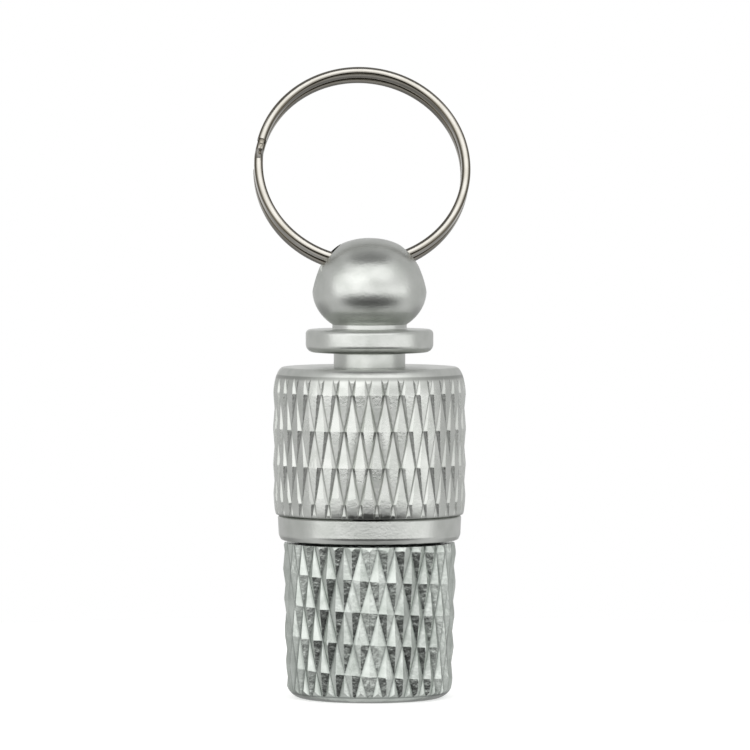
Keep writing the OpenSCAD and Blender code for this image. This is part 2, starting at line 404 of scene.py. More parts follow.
@dataclass
class Profile:
    """A turned outline, as radius and height from the foot of the work to its top."""

    points: list[tuple[float, float]] = field(default_factory=list)

    def to(self, radius: float, height: float) -> "Profile":
        """Adds a straight cut to a point."""
        self.points.append((radius, height))
        return self

    def round(
        self,
        centre: tuple[float, float],
        radii: tuple[float, float],
        sweep: tuple[float, float],
        power: float = 2.0,
    ) -> "Profile":
        """Adds a round cut, part of an ellipse or of a squarer curve of its kind.

        Args:
            centre: Radius and height of the curve's centre.
            radii: The curve's reach along the radius and the height.
            sweep: First and last angle in degrees, 0 outwards and 90 upwards.
            power: 2 for an ellipse, more for a squarer curve.

        Returns:
            The profile itself.
        """
        steps = math.ceil(abs(sweep[1] - sweep[0]) / SMOOTH_STEP)
        for k in range(steps + 1):
            angle = math.radians(sweep[0] + (sweep[1] - sweep[0]) * k / steps)
            reach = [
                math.copysign(abs(part) ** (2 / power), part)
                for part in (math.cos(angle), math.sin(angle))
            ]
            self.to(centre[0] + radii[0] * reach[0], centre[1] + radii[1] * reach[1])
        return self

    def turn(self, name: str, sides: int = 180) -> bpy.types.Object:
        """Turns the outline round the Z axis to a closed solid.

        Args:
            name: Name of the object.
            sides: Number of faces round the axis.

        Returns:
            The solid, with one vertex where the outline meets the axis.
        """
        pairs = zip([None, *self.points], self.points)
        kept = [p for before, p in pairs if before is None or math.dist(p, before) > MICRON_WELD]
        work = bmesh.new()
        rings = []
        for radius, height in kept:
            if radius < MICRON_WELD:
                rings.append([work.verts.new((0, 0, height))])
            else:
                rings.append([
                    work.verts.new((radius * math.cos(turn), radius * math.sin(turn), height))
                    for turn in (math.tau * k / sides for k in range(sides))
                ])
        for low, high in zip(rings, rings[1:]):
            for k in range(sides):
                corners = [low[k % len(low)], low[(k + 1) % len(low)]]
                corners += [high[(k + 1) % len(high)], high[k % len(high)]]
                work.faces.new(list(dict.fromkeys(corners)))
        mesh = bpy.data.meshes.new(name)
        work.to_mesh(mesh)
        work.free()
        made = new_object(name, mesh)
        face_outwards(made)
        return made


# ---------------------------------------------------------------- what repeats


def knurl_tree() -> GeometryTree:
    """Makes the tree of a knurled column: diamonds on a staggered lattice, wrapped round the axis.

    Returns:
        The tree. Its Cell is one diamond, two lattice steps wide and high, and 0 to 1 deep.
    """
    graph = GeometryTree("knurled_column")
    cell = graph.take("Cell", "Object")
    around = graph.take("Half diamonds", "Int")
    rows = graph.take("Rows", "Int")
    row_h = graph.take("Row height")
    low_z, high_z = graph.take("Low level"), graph.take("High level")
    low_r, high_r = graph.take("Low radius"), graph.take("High radius")
    depth, climb = graph.take("Depth"), graph.take("Climb")
    start, hand = graph.take("Start"), graph.take("Hand")
    scatter, seed = graph.take("Scatter"), graph.take("Seed", "Int")
    material = graph.take("Material", "Material")

    grid = graph.node(
        "GeometryNodeMeshGrid",
        {"Size X": around - 1, "Size Y": rows, "Vertices X": around, "Vertices Y": rows + 1},
    )
    place = graph.node("ShaderNodeSeparateXYZ", {0: graph.node("GeometryNodeInputPosition")})
    column = (Term(place.outputs[0]) + (around - 1) / 2).apply("ROUND")
    row = (Term(place.outputs[1]) + rows / 2).apply("ROUND")
    knot = graph.node("ShaderNodeCombineXYZ", {0: column, 1: row})
    lattice = graph.node(
        "GeometryNodeSetPosition", {"Geometry": grid.outputs[0], "Position": knot}
    )
    odd = (Term(place.outputs[0]) + Term(place.outputs[1])).apply("ROUND").apply("FLOORED_MODULO", 2.0)
    even = graph.node("FunctionNodeCompare", {0: odd, 1: 0.5}, operation="LESS_THAN")
    diamond = graph.node("GeometryNodeObjectInfo", {"Object": cell})
    diamonds = graph.node(
        "GeometryNodeInstanceOnPoints",
        {"Points": lattice, "Selection": even, "Instance": diamond.outputs["Geometry"]},
    )
    sheet = graph.node("GeometryNodeRealizeInstances", {"Geometry": diamonds})

    turn = Term(place.outputs[0]) / around
    angle = turn * math.tau * hand
    level = low_z + row_h * (Term(place.outputs[1]) - climb - start + climb * turn)
    share = (level - low_z) / (high_z - low_z)
    radius = low_r + (high_r - low_r) * share + depth * (Term(place.outputs[2]) - 1)
    round_place = graph.node(
        "ShaderNodeCombineXYZ",
        {0: radius * angle.apply("COSINE"), 1: radius * angle.apply("SINE"), 2: level},
    )
    wrapped = graph.node("GeometryNodeSetPosition", {"Geometry": sheet, "Position": round_place})
    skin = graph.node(
        "GeometryNodeMergeByDistance", {"Geometry": wrapped, "Distance": 5 * MICRON_WELD}
    )
    jitter = graph.node(
        "FunctionNodeRandomValue",
        {0: (-1.0, -1.0, -1.0), 1: (1.0, 1.0, 1.0), "Seed": seed},
        data_type="FLOAT_VECTOR",
    )
    offset = graph.node("ShaderNodeVectorMath", {0: jitter, "Scale": scatter}, operation="SCALE")
    worked = graph.node(
        "GeometryNodeSetPosition", {"Geometry": skin, "Offset": offset.outputs[0]}
    )
    rim = graph.node(
        "FunctionNodeCompare",
        {2: graph.node("GeometryNodeInputMeshEdgeNeighbors"), 3: 1},
        data_type="INT",
        operation="EQUAL",
    )
    closing = graph.node(
        "GeometryNodeExtrudeMesh",
        {"Mesh": worked, "Selection": rim, "Offset Scale": 0.0},
        mode="EDGES",
    )
    upper = (Term(place.outputs[2]) - (low_z + high_z) / 2).apply("SIGN")
    end_z = (low_z + high_z) / 2 + upper * ((high_z - low_z) / 2 + row_h)
    closed = graph.node(
        "GeometryNodeSetPosition",
        {
            "Geometry": closing.outputs["Mesh"],
            "Selection": closing.outputs["Top"],
            "Position": graph.node("ShaderNodeCombineXYZ", {2: end_z}),
        },
    )
    column_mesh = graph.node(
        "GeometryNodeMergeByDistance", {"Geometry": closed, "Distance": 5 * MICRON_WELD}
    )
    graph.end(column_mesh, material)
    return graph


def winding_tree() -> GeometryTree:
    """Makes the tree of a wound strip: a section swept along a helix, a spiral or a split ring.

    Returns:
        The tree. Its Section is a closed outline, X outwards and Y along the axis.
    """
    graph = GeometryTree("wound_strip")
    section = graph.take("Section", "Object")
    count = graph.take("Points", "Int")
    first, last = graph.take("First angle"), graph.take("Last angle")
    first_r, last_r = graph.take("First radius"), graph.take("Last radius")
    level, rise = graph.take("Level"), graph.take("Rise per turn")
    bend_start, bend_end = graph.take("Bend start"), graph.take("Bend end")
    step = graph.take("Step in bend")
    taper = graph.take("Tapered share")
    material = graph.take("Material", "Material")

    line = graph.node("GeometryNodeCurvePrimitiveLine", {"End": (0.0, 0.0, 1.0)})
    path = graph.node("GeometryNodeResampleCurve", {"Curve": line, "Count": count})
    share = Term(graph.node("GeometryNodeInputIndex").outputs[0]) / (count - 1)
    angle = first + (last - first) * share
    radius = first_r + (last_r - first_r) * share
    height = level + rise * angle / math.tau + step * angle.ramp(bend_start, bend_end)
    wound_place = graph.node(
        "ShaderNodeCombineXYZ",
        {0: radius * angle.apply("COSINE"), 1: radius * angle.apply("SINE"), 2: height},
    )
    bent = graph.node("GeometryNodeSetPosition", {"Geometry": path, "Position": wound_place})
    upright = graph.node("GeometryNodeSetCurveNormal", {"Curve": bent}, mode="Z_UP")
    marked = graph.node(
        "GeometryNodeStoreNamedAttribute",
        {"Geometry": upright, "Name": "along", "Value": angle * radius},
        data_type="FLOAT",
        domain="POINT",
    )
    outline = graph.node("GeometryNodeObjectInfo", {"Object": section})
    around = graph.node("GeometryNodeMeshToCurve", {"Mesh": outline.outputs["Geometry"]})
    to_end = share.apply("MINIMUM", 1.0 - share)
    size = ((to_end + TIP_SHARE) / (taper + TIP_SHARE)).apply("MINIMUM", 1.0)
    swept = graph.node(
        "GeometryNodeCurveToMesh",
        {"Curve": marked, "Profile Curve": around, "Scale": size, "Fill Caps": True},
    )
    graph.end(swept, material)
    return graph


def hoop_tree() -> GeometryTree:
    """Makes the tree of a round cord swept round the axis.

    Returns:
        The tree.
    """
    graph = GeometryTree("round_hoop")
    ring_r, cord_r, level = (graph.take(name) for name in ("Ring radius", "Cord radius", "Level"))
    material = graph.take("Material", "Material")
    circle = "GeometryNodeCurvePrimitiveCircle"
    ring = graph.node(circle, {"Resolution": 144, "Radius": ring_r})
    cord = graph.node(circle, {"Resolution": 40, "Radius": cord_r})
    swept = graph.node("GeometryNodeCurveToMesh", {"Curve": ring, "Profile Curve": cord})
    lift = graph.node("ShaderNodeCombineXYZ", {2: level})
    graph.end(graph.node("GeometryNodeTransform", {"Geometry": swept, "Translation": lift}), material)
    return graph


@dataclass(frozen=True)
class Trees:
    """The trees that the pieces share."""

    knurl: GeometryTree = field(default_factory=knurl_tree)
    winding: GeometryTree = field(default_factory=winding_tree)
    hoop: GeometryTree = field(default_factory=hoop_tree)


# ---------------------------------------------------------------- finishes


def linear(code: str) -> tuple[float, float, float, float]:
    """Turns an sRGB hex code into the linear colour that Blender takes.

    Args:
        code: The code, such as "#cfd1cd".

    Returns:
        Red, green, blue and an alpha of 1.
    """
    parts = [int(code[k : k + 2], 16) / 255 for k in (1, 3, 5)]
    straight = [p / 12.92 if p <= 0.04045 else ((p + 0.055) / 1.055) ** 2.4 for p in parts]
    return (*straight, 1.0)


def principled(material: bpy.types.Material) -> bpy.types.Node:
    """The material's Principled shader."""
    return next(n for n in material.node_tree.nodes if n.type == "BSDF_PRINCIPLED")


def start_material(name: str) -> tuple[bpy.types.Material, bpy.types.Node]:
    """Makes an empty material.

    Args:
        name: The real material and how its surface was made.

    Returns:
        The material, and a node of its tree with the place on the piece in millimetres.
    """
    made = bpy.data.materials.new(name)
    made.use_nodes = True
    tree = made.node_tree
    object_place = tree.nodes.new("ShaderNodeTexCoord").outputs["Object"]
    place = add_node(
        tree, "ShaderNodeVectorMath", {0: object_place, "Scale": 1 / MM}, operation="SCALE"
    )
    return made, place


@dataclass(frozen=True)
class Metal:
    """A worked metal surface: colour, polish, grain, and the fine rings that a lathe tool leaves.

    The crest and groove sizes are distances in millimetres: a crest's from the axis, and a groove's
    under the knurl's crests, whose radius is given at the base with what it gains up each millimetre.
    """

    name: str
    colour: str
    worn_colour: str
    roughness: float
    patchiness: float
    grain_mm: float
    grain_depth_mm: float
    ring_depth_mm: float = 0.0
    patch_edge: tuple[float, float] = (0.3, 0.75)
    edge_mm: float = 0.03
    crest_mm: tuple[float, float] = (0.0, 0.0)
    crest_roughness: float = 0.2
    # Painted shade in the knurl's grooves: the crest line, the depths where it fades in and out, its
    # share and its colour.
    knurl_mm: tuple[float, float] = (0.0, 0.0)
    groove_mm: tuple[float, float] = (0.0, 0.0)
    groove_end_mm: tuple[float, float] = (0.03, 0.06)
    groove_shade_share: float = 0.7
    groove_shade_colour: str = ""
    # Colour of painted shade on a wound wire, where its point attribute asks: on its rounded edges,
    # inner side and rear turn.
    painted_shade_colour: str = ""
    drawn_out: float = 0.08

    def material(self) -> bpy.types.Material:
        """Builds the material.

        Returns:
            The material.
        """
        made, place = start_material(self.name)
        tree = made.node_tree
        apart = add_node(tree, "ShaderNodeSeparateXYZ", {0: place})
        x, y, z = (Term(socket) for socket in apart.outputs)
        radius = (x * x + y * y).apply("SQRT")
        noise = add_node(
            tree, "ShaderNodeTexNoise", {"Vector": place, "Scale": PATCHES_PER_MM, "Detail": 3.0}
        )
        patches = Term(noise.outputs[0])
        inputs = principled(made).inputs
        inputs["Metallic"].default_value = 1.0
        tree.links.new(self.tint(tree, patches, radius, z), inputs["Base Color"])
        tree.links.new(self.polish(patches, radius).socket, inputs["Roughness"])
        tree.links.new(self.relief(tree, place, radius, z).outputs[0], inputs["Normal"])
        return made

    def tint(
        self, tree: bpy.types.NodeTree, patches: Term, radius: Term, z: Term
    ) -> bpy.types.NodeSocket:
        """Colours the metal: its rubbed patches, painted shade in its grooves, and painted shade on a
        wound wire's edges, inner side and rear turn.

        Args:
            tree: The material's tree.
            patches: Noise of the rubbed patches.
            radius: Distance from the axis in millimetres.
            z: Level in millimetres.

        Returns:
            The colour.
        """
        layers = [(patches.ramp(*self.patch_edge), self.worn_colour)]
        # Painted shade: the colour darkens down into the knurl's grooves, where shade falls.
        if self.groove_shade_colour:
            foot, gain = self.knurl_mm
            start, full = self.groove_mm
            sunk = z * gain + foot - radius
            end = sunk.ramp(*(full + more for more in self.groove_end_mm))
            layers.append((sunk.ramp(start, full) * (1.0 - end) * self.groove_shade_share, self.groove_shade_colour))
        # Painted shade: darkens a wire's rounded edges, its inner side and its rear turn, where shade
        # falls.
        if self.painted_shade_colour:
            worn = add_node(tree, "ShaderNodeAttribute", attribute_name="worn")
            layers.append((Term(worn.outputs["Fac"]), self.painted_shade_colour))
        colour = linear(self.colour)
        for share, code in layers:
            mixed = add_node(
                tree, "ShaderNodeMix", {0: share, 6: colour, 7: linear(code)}, data_type="RGBA"
            )
            colour = mixed.outputs[2]
        return colour

    def polish(self, patches: Term, radius: Term) -> Term:
        """Roughness of the metal: uneven by its patches, and smoother on a knurl's rubbed crests.

        Args:
            patches: Noise of the patches.
            radius: Distance from the axis in millimetres.

        Returns:
            The roughness.
        """
        rough = (patches - 0.5) * self.patchiness + self.roughness
        if any(self.crest_mm):
            rough = rough + (self.crest_roughness - rough) * radius.ramp(*self.crest_mm)
        return rough

    def relief(
        self, tree: bpy.types.NodeTree, place: bpy.types.Node, radius: Term, z: Term
    ) -> bpy.types.Node:
        """Fine relief of the metal: rubbed edges, grain, and the lathe tool's rings.

        Args:
            tree: The material's tree.
            place: Place on the piece in millimetres.
            radius: Distance from the axis in millimetres.
            z: Level in millimetres.

        Returns:
            The node that gives the surface its direction.
        """
        if self.painted_shade_colour:
            along = Term(add_node(tree, "ShaderNodeAttribute", attribute_name="along").outputs["Fac"])
            inputs = {0: along * (self.drawn_out / MM), 1: radius, 2: z}
            place = add_node(tree, "ShaderNodeCombineXYZ", inputs)
        layers = [(place, 1 / self.grain_mm, 2.0, self.grain_depth_mm)]
        if self.ring_depth_mm:
            inputs = {0: radius * RINGS_PER_MM, 2: z * RINGS_PER_MM}
            rings = add_node(tree, "ShaderNodeCombineXYZ", inputs)
            layers.append((rings, 1.0, 1.0, self.ring_depth_mm))
        facing = add_node(tree, "ShaderNodeBevel", {"Radius": self.edge_mm * MM}, samples=4)
        for where, scale, detail, depth_mm in layers:
            noise = add_node(
                tree, "ShaderNodeTexNoise", {"Vector": where, "Scale": scale, "Detail": detail}
            )
            facing = add_node(
                tree,
                "ShaderNodeBump",
                {"Height": noise.outputs[0], "Distance": depth_mm * MM, "Normal": facing},
            )
        return facing


@dataclass(frozen=True)
class PaintedBandShade:
    """A ragged dark patch of painted shade and dark reflection, on the turned band where it meets its
    knurl.
    """

    half_width_mm: float = 1.9
    half_height_mm: float = 0.3
    tatters_per_mm: float = 2.2
    raggedness: float = 2.5
    edge: tuple[float, float] = (1.1, 0.4)
    strength: float = 0.75
    colour: str = "#5f615d"

    def paint_on(self, material: bpy.types.Material, place: Vector) -> None:
        """Paints the dark patch of shade and reflection into a metal's colour.

        Args:
            material: The metal's material.
            place: Middle of the painted patch.
        """
        tree = material.node_tree
        base = principled(material).inputs["Base Color"]
        object_place = tree.nodes.new("ShaderNodeTexCoord").outputs["Object"]
        spot = add_node(tree, "ShaderNodeVectorMath", {0: object_place, 1: place}, operation="SUBTRACT")
        apart = add_node(tree, "ShaderNodeSeparateXYZ", {0: spot})
        across, deep, up = (Term(socket) for socket in apart.outputs)
        across, deep = across / (self.half_width_mm * MM), deep / (self.half_width_mm * MM)
        up = up / (self.half_height_mm * MM)
        noise = add_node(
            tree,
            "ShaderNodeTexNoise",
            {"Vector": spot, "Scale": self.tatters_per_mm / MM, "Detail": 3.0},
        )
        ragged = (Term(noise.outputs[0]) - 0.5) * self.raggedness
        share = (across * across + deep * deep + up * up + ragged).ramp(*self.edge) * self.strength
        mixed = add_node(
            tree,
            "ShaderNodeMix",
            {0: share, 6: base.links[0].from_socket, 7: linear(self.colour)},
            data_type="RGBA",
        )
        tree.links.new(mixed.outputs[2], base)


@dataclass(frozen=True)
class Plain:
    """A surface that isn't metal: rubber or paper, with a fine grain and a few ruled lines."""

    name: str
    colour: str
    shade: str
    roughness: float
    grain_mm: float
    grain_depth_mm: float
    mottle_edge: tuple[float, float] = (0.35, 0.7)
    rule_mm: float = 0.0
    rule_edge: tuple[float, float] = (0.05, 0.08)
    rule_strength: float = 0.7

    def material(self) -> bpy.types.Material:
        """Builds the material.

        Returns:
            The material.
        """
        made, place = start_material(self.name)
        tree = made.node_tree
        noise = {"Vector": place, "Scale": 1 / self.grain_mm, "Detail": 3.0}
        grain = add_node(tree, "ShaderNodeTexNoise", noise)
        mottle = Term(grain.outputs[0]).ramp(*self.mottle_edge)
        if self.rule_mm:
            along = Term(add_node(tree, "ShaderNodeAttribute", attribute_name="along").outputs["Fac"])
            line = (along / (self.rule_mm * MM)).apply("FRACT")
            printed = (1.0 - line.ramp(*self.rule_edge)) * self.rule_strength
            mottle = mottle * (1.0 - self.rule_strength) + printed
        colours = {0: mottle, 6: linear(self.colour), 7: linear(self.shade)}
        colour = add_node(tree, "ShaderNodeMix", colours, data_type="RGBA")
        relief = {"Height": grain.outputs[0], "Distance": self.grain_depth_mm * MM}
        bump = add_node(tree, "ShaderNodeBump", relief)
        inputs = principled(made).inputs
        tree.links.new(colour.outputs[2], inputs["Base Color"])
        tree.links.new(bump.outputs[0], inputs["Normal"])
        inputs["Roughness"].default_value = self.roughness
        return made


SATIN = Metal(
    # Turned aluminium, tumbled and clear anodised: a fine even satin, smoother on the rubbed crests
    # of the knurl, with painted shade in its grooves. The grain is drawn coarser than the real one, to
    # show.
    name="aluminium_tumbled_anodised",
    colour="#cfd1cd",
    worn_colour="#c3c6c1",
    roughness=0.31,
    patchiness=0.08,
    grain_mm=0.18,
    grain_depth_mm=0.009,
    ring_depth_mm=0.0015,
    edge_mm=0.05,
    crest_mm=(6.42, 6.53),
    crest_roughness=0.22,
    knurl_mm=(6.54, 0.0),
    groove_mm=(0.14, 0.21),
    groove_shade_colour="#8b8d89",
)
BRIGHT = Metal(
    # Aluminium as the knurling wheel left it: bright burnished facets with coarse tool marks, and
    # painted shade in the grooves between them.
    name="aluminium_knurled_bright",
    colour="#cdd2cd",
    worn_colour="#b4bab4",
    roughness=0.22,
    patchiness=0.2,
    grain_mm=0.5,
    grain_depth_mm=0.035,
    ring_depth_mm=0.001,
    edge_mm=0.04,
    knurl_mm=(5.65, 0.0237),
    groove_mm=(0.19, 0.28),
    groove_shade_colour="#858b86",
)
STEEL = Metal(
    # Spring steel wire, drawn and nickel plated: smooth and a little warm, with painted brown shade on
    # its rounded edges, its inner side and its rear turn. The drawing marks are drawn coarser than real,
    # to show.
    name="steel_wire_nickel_plated",
    colour="#d6d3cc",
    worn_colour="#c8c4bb",
    roughness=0.14,
    patchiness=0.06,
    grain_mm=0.12,
    grain_depth_mm=0.003,
    edge_mm=0.02,
    painted_shade_colour="#4d4637",
)
RUBBER = Plain(
    # Nitrile rubber, moulded: dull black with a faint grain.
    name="nitrile_rubber_moulded",
    colour="#1d1d1f",
    shade="#262628",
    roughness=0.62,
    grain_mm=0.08,
    grain_depth_mm=0.004,
)
PAPER = Plain(
    # Uncoated paper, printed with writing lines: warm white, matt, with pale blue-grey lines.
    name="paper_uncoated_ruled",
    colour="#f1eee6",
    shade="#a9b4c4",
    roughness=0.85,
    grain_mm=0.15,
    grain_depth_mm=0.004,
    rule_mm=4.0,
)


# ---------------------------------------------------------------- pieces


def cell_object(name: str, ridge: float) -> bpy.types.Object:
    """Makes one diamond of a knurl, two lattice steps wide and high and one deep.

    Args:
        name: Name of the object.
        ridge: Half length of its level ridge, or 0 for a point.

    Returns:
        The diamond, as the triangles of its roof.
    """
    corners = {"left": (-1, 0, 0), "right": (1, 0, 0), "low": (0, -1, 0), "top": (0, 1, 0)}
    if ridge:
        crest = {"left_end": (-ridge, 0, 1), "right_end": (ridge, 0, 1)}
        faces = [
            ("left_end", "right_end", "top"), ("left_end", "low", "right_end"),
            ("left", "left_end", "top"), ("left", "low", "left_end"),
            ("right", "top", "right_end"), ("right", "right_end", "low"),
        ]
    else:
        crest = {"point": (0, 0, 1)}
        faces = [
            ("right", "top", "point"), ("top", "left", "point"),
            ("left", "low", "point"), ("low", "right", "point"),
        ]
    places = corners | crest
    order = {key: k for k, key in enumerate(places)}
    mesh = bpy.data.meshes.new(name)
    mesh.from_pydata(list(places.values()), [], [[order[key] for key in face] for face in faces])
    return new_object(name, mesh)


def section_object(
    name: str, outline: list[tuple[float, float]], worn: list[float] | None = None
) -> bpy.types.Object:
    """Makes the closed outline of a wound strip, X outwards and Y along the axis.

    Args:
        name: Name of the object.
        outline: The outline's points.
        worn: How much painted shade each point gets, which the strip keeps as a point attribute of that
            name.

    Returns:
        The outline.
    """
    count = len(outline)
    mesh = bpy.data.meshes.new(name)
    edges = [(k, (k + 1) % count) for k in range(count)]
    mesh.from_pydata([(x, y, 0) for x, y in outline], edges, [])
    if worn:
        mesh.attributes.new("worn", "FLOAT", "POINT").data.foreach_set("value", worn)
    return new_object(name, mesh)


@dataclass(frozen=True)
class Knurl:
    """A knurl rolled on a turned surface, in the frame's own levels.

    A round has "around" half diamonds. The rows are "row" high, start a share of a row below the
    low level and climb a whole number of rows in a turn, to the side that "hand" gives. A ridge of
    0 gives each diamond a point. Scatter moves each corner at random, as a worn wheel does.
    """

    around: int
    row: float
    low_z: float
    high_z: float
    low_r: float
    high_r: float
    depth: float
    climb: int
    start: float
    hand: int
    ridge: float
    scatter: float
    seed: int

    def column(self, name: str, tree: GeometryTree, material: bpy.types.Material) -> bpy.types.Object:
        """Makes the knurled column, which reaches past its levels at both ends.

        Args:
            name: Name of the object.
            tree: The knurl's tree.
            material: Its material.

        Returns:
            The column.
        """
        cell = cell_object(name + "_cell", self.ridge)
        span = (self.high_z - self.low_z) / self.row
        made = tree.grow(
            name,
            {
                "Cell": cell,
                "Half diamonds": self.around,
                "Rows": math.ceil(span + self.climb + self.start),
                "Row height": self.row,
                "Low level": self.low_z,
                "High level": self.high_z,
                "Low radius": self.low_r,
                "High radius": self.high_r,
                "Depth": self.depth,
                "Climb": float(self.climb),
                "Start": self.start,
                "Hand": float(self.hand),
                "Scatter": self.scatter,
                "Seed": self.seed,
                "Material": material,
            },
        )
        bpy.data.objects.remove(cell)
        face_outwards(made)
        return made


@dataclass(frozen=True)
class Winding:
    """A strip wound round the axis, with its angles in radians: a helix, a spiral or a split ring."""

    points: int
    angles: tuple[float, float]
    radii: tuple[float, float]
    level: float
    rise: float = 0.0
    bend: tuple[float, float] = (0.0, 1.0)
    step: float = 0.0
    taper: float = 0.0

    def strip(
        self, name: str, tree: GeometryTree, section: bpy.types.Object, material: bpy.types.Material
    ) -> bpy.types.Object:
        """Makes the strip, and removes its section.

        Args:
            name: Name of the object.
            tree: The winding's tree.
            section: The strip's closed outline, X outwards and Y along the axis.
            material: Its material.

        Returns:
            The strip.
        """
        made = tree.grow(
            name,
            {
                "Section": section,
                "Points": self.points,
                "First angle": self.angles[0],
                "Last angle": self.angles[1],
                "First radius": self.radii[0],
                "Last radius": self.radii[1],
                "Level": self.level,
                "Rise per turn": self.rise,
                "Bend start": self.bend[0],
                "Bend end": self.bend[1],
                "Step in bend": self.step,
                "Tapered share": self.taper,
                "Material": material,
            },
        )
        bpy.data.objects.remove(section)
        return made


@dataclass(frozen=True)
class Thread:
    """The screw thread that joins barrel and cap."""

    root_r: float = 4.45 * MM
    crest_r: float = 4.9 * MM
    pitch: float = 1.0 * MM
    crest_half: float = 0.1 * MM
    flank: float = 0.25 * MM
    gap: float = 0.12 * MM
    tip_gap_share: float = 0.6
    root_cover: float = 0.12 * MM
    tapered_turns: float = 0.12
    points_per_turn: int = 72

    def ridge(
        self, name: str, tree: GeometryTree, origin: float, low: float, high: float, nut: bool,
        material: bpy.types.Material,
    ) -> bpy.types.Object:
        """Makes the ridge of the screw, or the groove of the nut as a solid.

        Args:
            name: Name of the object.
            tree: The winding's tree.
            origin: Level of the crest's centre at angle zero.
            low: Lowest level of the crest's centre.
            high: Highest level of the crest's centre.
            nut: Whether it is the nut's groove, with the gap round it.
            material: Its material.

        Returns:
            The wound strip, which fades out at both ends.
        """
        gap = self.gap if nut else 0.0
        inner = self.root_r + gap - self.root_cover
        slope = self.flank / (self.crest_r - self.root_r)
        outer = self.crest_r + gap - inner
        tip = self.crest_half + self.tip_gap_share * gap
        foot = tip + slope * outer
        outline = [(0, -foot), (outer, -tip), (outer, tip), (0, foot)]
        first, last = ((level - origin) / self.pitch * math.tau for level in (low, high))
        turns = (last - first) / math.tau
        winding = Winding(
            points=round(turns * self.points_per_turn), angles=(first, last), radii=(inner, inner),
            level=origin, rise=self.pitch, taper=self.tapered_turns / turns,
        )
        made = winding.strip(name, tree, section_object(name + "_section", outline), material)
        face_outwards(made)
        return made


class Piece:
    """One piece of the capsule, which stands for a CAD node and rides on its body.

    Each kind of piece has a build method, which makes it from the shared trees.
    """

    name: ClassVar[str] = ""
    node: ClassVar[str] = ""
    body: ClassVar[str] = ""
    slot: ClassVar[str] = ""

    def settle(self, made: bpy.types.Object, material: bpy.types.Material) -> bpy.types.Object:
        """Gives a finished mesh its material and its place in the frame.

        Args:
            made: The mesh object.
            material: Its material.

        Returns:
            The object.
        """
        made.name = self.name
        made.data.name = self.name
        made.data.materials.clear()
        made.data.materials.append(material)
        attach(made, self.body)
        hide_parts(self.node)
        return made

    def report(self, made: bpy.types.Object) -> None:
        """Logs how many triangles the piece has and how far it reaches over its CAD box.

        Args:
            made: The finished piece.
        """
        low, high = (np.array(corner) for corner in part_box(self.node))
        places = np.array([vertex.co for vertex in made.data.vertices])
        over = max(*(low - places.min(0)), *(places.max(0) - high))
        faces = sum(len(polygon.vertices) - 2 for polygon in made.data.polygons)
        LOG.info("%s: %d triangles, %.3f mm over its CAD box", self.name, faces, over / MM)


@dataclass
class Barrel(Piece):
    """The knurled barrel: a closed tube with a threaded neck."""

    name: ClassVar[str] = "knurled_barrel"
    node: ClassVar[str] = "barrel"
    body: ClassVar[str] = "barrel"
    slot: ClassVar[str] = "bright_aluminium"

    shoulder_z: float = 10.55 * MM
    foot_r: float = 5.65 * MM
    top_r: float = 5.9 * MM
    foot_round: float = 1.15 * MM
    rim: tuple[float, float] = (0.13 * MM, 0.34 * MM)
    bore_r: float = 3.8 * MM
    floor: float = 1.5 * MM
    bore_corner: float = 0.2 * MM
    bore_chamfer: float = 0.12 * MM
    neck_r: float = 4.37 * MM
    neck_h: float = 5.95 * MM
    relief_top: float = 11.55 * MM
    thread_top: float = 16.0 * MM
    ridge_in: tuple[float, float] = (0.25 * MM, 0.1 * MM)
    chamfer: float = 0.25 * MM
    corner: float = 0.08 * MM
    thread: Thread = field(default_factory=Thread)

    def build(self, trees: Trees) -> bpy.types.Object:
        """Builds the barrel.

        Args:
            trees: The shared trees.

        Returns:
            The finished piece.
        """
        metal = BRIGHT.material()
        knurl = Knurl(
            around=61, row=2.14 * MM, low_z=0.0, high_z=self.shoulder_z, low_r=self.foot_r,
            high_r=self.top_r, depth=0.27 * MM, climb=1, start=0.4, hand=-1, ridge=0.0,
            scatter=0.03 * MM, seed=4,
        )
        body = knurl.column(self.name, trees.knurl, metal)
        body = combine(body, Solid.COMMON, self.envelope())
        body = combine(body, Solid.UNITE, self.neck())
        ridge = self.thread.ridge(
            "thread_ridge", trees.winding, self.shoulder_z, self.relief_top + self.ridge_in[0],
            self.thread_top - self.ridge_in[1], False, metal,
        )
        body = combine(body, Solid.UNITE, ridge)
        body = combine(body, Solid.CUT, self.bore())
        face_outwards(body)
        crease(body, SMOOTH_STEP + 1)
        return self.settle(body, metal)

    def envelope(self) -> bpy.types.Object:
        """Turned outline that the knurl is cut down to: rounded foot, taper and chamfered rim.

        Returns:
            The solid inside the outline.
        """
        side = Profile().to(0, 0).round(
            (self.foot_r - self.foot_round, self.foot_round), (self.foot_round,) * 2, (-90, 0)
        )
        wide, high = self.rim
        side.to(self.top_r, self.shoulder_z - high).to(self.top_r - wide, self.shoulder_z)
        return side.to(0, self.shoulder_z).turn("barrel_envelope")

    def neck(self) -> bpy.types.Object:
        """Turned neck: relief under the thread, thread root and chamfered lead.

        Returns:
            The neck, which reaches down into the body.
        """
        root = self.thread.root_r
        top = self.shoulder_z + self.neck_h
        outline = Profile().to(0, 2 * self.floor).to(self.neck_r, 2 * self.floor)
        outline.to(self.neck_r, self.relief_top - self.corner).to(root, self.relief_top)
        outline.to(root, self.thread_top).to(self.neck_r, self.thread_top + self.corner)
        outline.to(self.neck_r, top - self.chamfer).to(self.neck_r - self.chamfer, top)
        return outline.to(0, top).turn("barrel_neck")

    def bore(self) -> bpy.types.Object:
        """Bore: chamfered corner at its floor and a small chamfer at its mouth.

        Returns:
            The solid to cut away.
        """
        top = self.shoulder_z + self.neck_h
        cut = self.bore_chamfer
        outline = Profile().to(0, self.floor).to(self.bore_r - self.bore_corner, self.floor)
        outline.to(self.bore_r, self.floor + self.bore_corner).to(self.bore_r, top - cut)
        outline.to(self.bore_r + 2 * cut, top + cut)
        return outline.to(0, top + cut).turn("barrel_bore")


